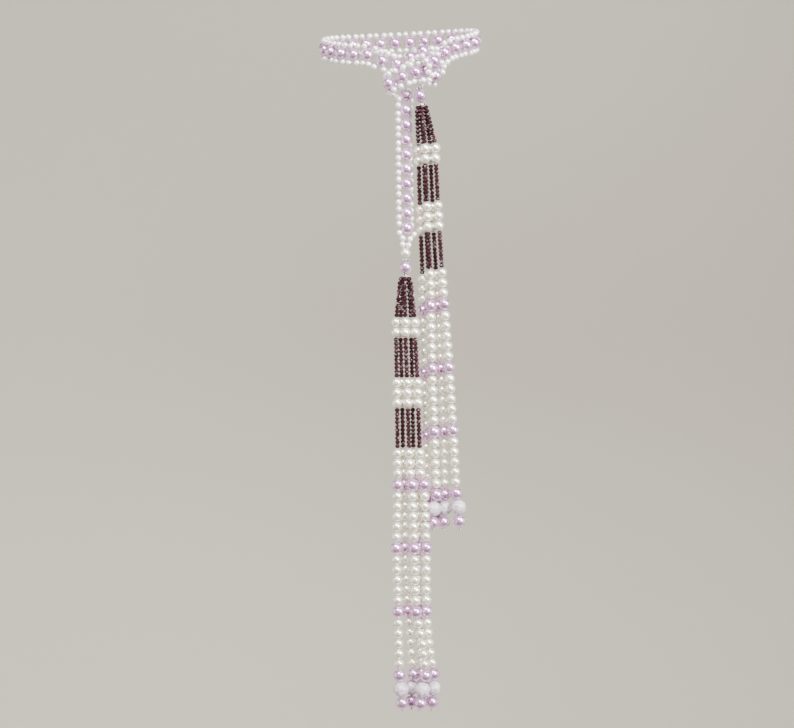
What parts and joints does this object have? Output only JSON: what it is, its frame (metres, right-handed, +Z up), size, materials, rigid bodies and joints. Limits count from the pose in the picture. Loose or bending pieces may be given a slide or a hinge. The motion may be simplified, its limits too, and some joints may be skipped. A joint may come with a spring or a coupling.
{
  "type": "beaded curtain tieback with tassels",
  "caption": "Curtain tieback of woven pearl beads: a band looped round the cloth and knotted in front, its ends falling as tassels of pearl and crystal strings.",
  "frame": {"origin": "middle of the band at the back of the loop, where the loop is held", "axes": "+X to the right seen from the front, +Y to the back, +Z up; the knot and both tassels are at the front"},
  "size_m": [0.1335, 0.1026, 0.5514],
  "materials": {
    "lilac_pearl": "satin",
    "white_pearl": "satin",
    "small_pearl": "satin",
    "crystal": "polished",
    "frosted": "matte",
    "silver": "polished",
    "thread": "matte"
  },
  "bodies": {
    "root": {"band": "lilac_pearl", "pearl_long_neck": "white_pearl", "spacer_long": "silver", "pearl_long_head": "lilac_pearl", "tassel_long": "white_pearl", "spacer_short": "silver", "pearl_short_head": "lilac_pearl", "tassel_short": "white_pearl"}
  },
  "joints": []
}
